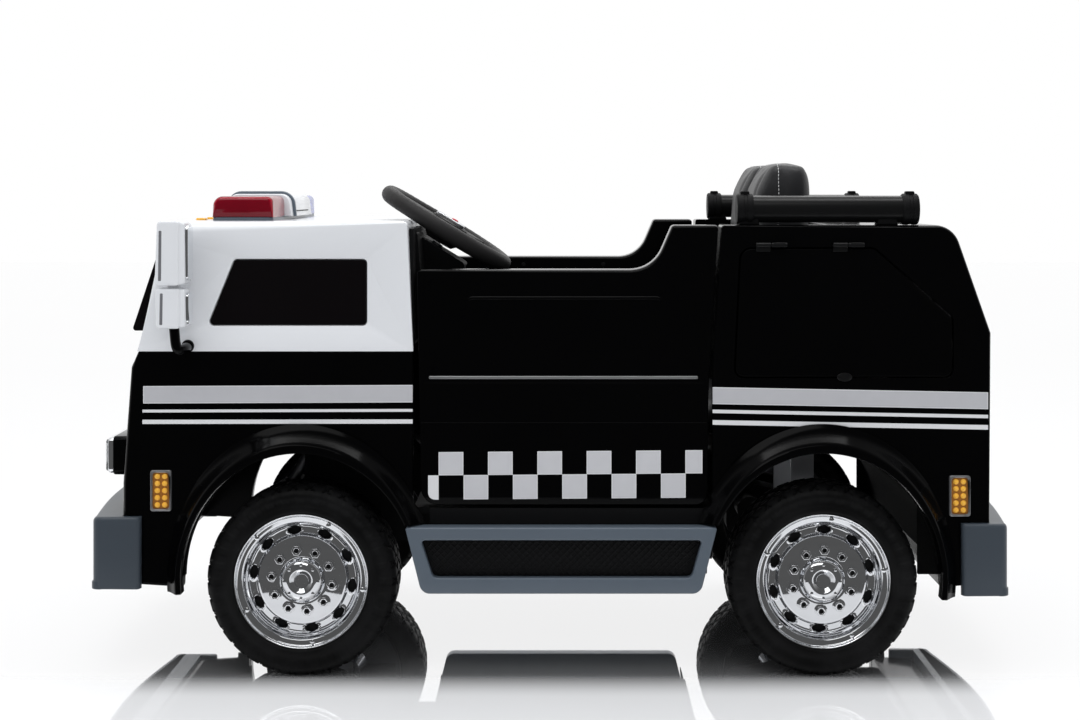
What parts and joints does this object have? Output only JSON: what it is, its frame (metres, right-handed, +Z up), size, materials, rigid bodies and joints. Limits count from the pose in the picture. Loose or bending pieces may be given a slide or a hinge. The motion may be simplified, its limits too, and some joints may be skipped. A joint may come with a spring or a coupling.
{
  "type": "child's ride-on police truck",
  "caption": "Child's battery ride-on police truck for two: cab-over front, open cockpit with side doors, rear storage body with side hatches, steered front wheels.",
  "frame": {"origin": "on the floor under the middle of the truck's bounding box", "axes": "+X forward, +Y the driver's left, +Z up"},
  "size_m": [1.256, 0.678, 0.676],
  "materials": {
    "black_shell": "glossy moulded plastic",
    "white_shell": "glossy moulded plastic",
    "slate_shell": "satin moulded plastic",
    "dark_screen": "smoked gloss panel",
    "black_matte": "fine moulded grain",
    "black_grip": "grained grip",
    "clear_lens": "bright reflector behind a clear lens",
    "amber_lens": "clear amber",
    "red_lens": "clear red",
    "blue_lens": "clear blue",
    "mirror": "mirror film",
    "seat_cover": "imitation leather with white stitching",
    "steel": "zinc plated",
    "grey_block": "plain case",
    "tyre": "moulded tread",
    "chrome": "plated plastic"
  },
  "bodies": {
    "truck": {"floor_tub": "black_shell", "front_sides": "black_shell", "front_shell": "black_shell", "cab_shell": "white_shell", "windscreen": "dark_screen", "cab_side_windows": "dark_screen", "dashboard": "black_matte", "rear_sides": "black_shell", "rear_pockets": "black_shell", "rear_middle": "black_shell", "hatch_hinges": "black_matte", "front_flares": "black_shell", "rear_flares": "black_shell", "side_steps": "slate_shell", "front_bumper": "slate_shell", "rear_bumper": "slate_shell", "grille": "slate_shell", "headlamp_housings": "black_matte", "headlamp_lenses": "clear_lens", "side_markers": "amber_lens", "tail_lamps": "red_lens", "roof_markers": "amber_lens", "light_bar_base": "slate_shell", "light_bar_centre": "white_shell", "red_lens": "red_lens", "blue_lens": "blue_lens", "mirror_arms": "black_matte", "mirror_housings": "white_shell", "mirror_glass": "mirror", "rack_tubes": "black_matte", "rack_clamps": "black_matte", "seat_base": "black_matte", "left_seat_cushion": "seat_cover", "left_seat_back": "seat_cover", "right_seat_cushion": "seat_cover", "right_seat_back": "seat_cover", "steering_box": "black_matte", "front_axle": "steel", "rear_axle": "steel", "gearboxes": "black_matte", "battery": "grey_block", "accelerator_pedal": "black_matte"},
    "left_door": {"left_door": "black_shell"},
    "right_door": {"right_door": "black_shell"},
    "left_hatch": {"left_hatch": "black_shell"},
    "right_hatch": {"right_hatch": "black_shell"},
    "steering": {"steering_wheel": "black_grip", "steering_shaft": "steel"},
    "left_knuckle": {"left_knuckle": "steel"},
    "right_knuckle": {"right_knuckle": "steel"},
    "tie_rod": {"tie_rod": "steel"},
    "front_left_wheel": {"front_left_tyre": "tyre", "front_left_wheel": "chrome"},
    "front_right_wheel": {"front_right_tyre": "tyre", "front_right_wheel": "chrome"},
    "rear_left_wheel": {"rear_left_tyre": "tyre", "rear_left_wheel": "chrome"},
    "rear_right_wheel": {"rear_right_tyre": "tyre", "rear_right_wheel": "chrome"}
  },
  "joints": [
    {"name": "left_door_swing", "type": "hinge", "parent": "truck", "child": "left_door", "pos_m": [0.176, 0.271, 0.4], "axis": [0, 0, -1], "range_deg": [0, 60]},
    {"name": "right_door_swing", "type": "hinge", "parent": "truck", "child": "right_door", "pos_m": [0.176, -0.271, 0.4], "axis": [0, 0, 1], "range_deg": [0, 60]},
    {"name": "left_hatch_lift", "type": "hinge", "parent": "truck", "child": "left_hatch", "pos_m": [-0.39, 0.2783, 0.566], "axis": [1, 0, 0], "range_deg": [0, 85]},
    {"name": "right_hatch_lift", "type": "hinge", "parent": "truck", "child": "right_hatch", "pos_m": [-0.39, -0.2783, 0.566], "axis": [-1, 0, 0], "range_deg": [0, 85]},
    {"name": "left_steer", "type": "hinge", "parent": "truck", "child": "left_knuckle", "pos_m": [0.329, 0.18, 0.125], "axis": [0, 0, 1], "range_deg": [-18, 18]},
    {"name": "right_steer", "type": "hinge", "parent": "truck", "child": "right_knuckle", "pos_m": [0.329, -0.18, 0.125], "axis": [0, 0, 1], "range_deg": [-18, 18]},
    {"name": "tie_rod_swing", "type": "hinge", "parent": "left_knuckle", "child": "tie_rod", "pos_m": [0.379, 0.18, 0.15], "axis": [0, 0, 1], "range_deg": [-18, 18]},
    {"name": "steering_turn", "type": "hinge", "parent": "truck", "child": "steering", "pos_m": [0.149, 0.11, 0.5845], "axis": [-0.5225, 0, 0.8526], "range_deg": [-36, 36]},
    {"name": "front_left_spin", "type": "hinge", "parent": "left_knuckle", "child": "front_left_wheel", "pos_m": [0.329, 0.254, 0.125], "axis": [0, 1, 0], "continuous": true},
    {"name": "front_right_spin", "type": "hinge", "parent": "right_knuckle", "child": "front_right_wheel", "pos_m": [0.329, -0.254, 0.125], "axis": [0, 1, 0], "continuous": true},
    {"name": "rear_left_spin", "type": "hinge", "parent": "truck", "child": "rear_left_wheel", "pos_m": [-0.356, 0.254, 0.125], "axis": [0, 1, 0], "continuous": true},
    {"name": "rear_right_spin", "type": "hinge", "parent": "truck", "child": "rear_right_wheel", "pos_m": [-0.356, -0.254, 0.125], "axis": [0, 1, 0], "continuous": true}
  ],
  "couplings": [
    {"joint": "right_steer", "follows": "left_steer", "ratio": 1},
    {"joint": "tie_rod_swing", "follows": "left_steer", "ratio": -1},
    {"joint": "steering_turn", "follows": "left_steer", "ratio": 2}
  ]
}
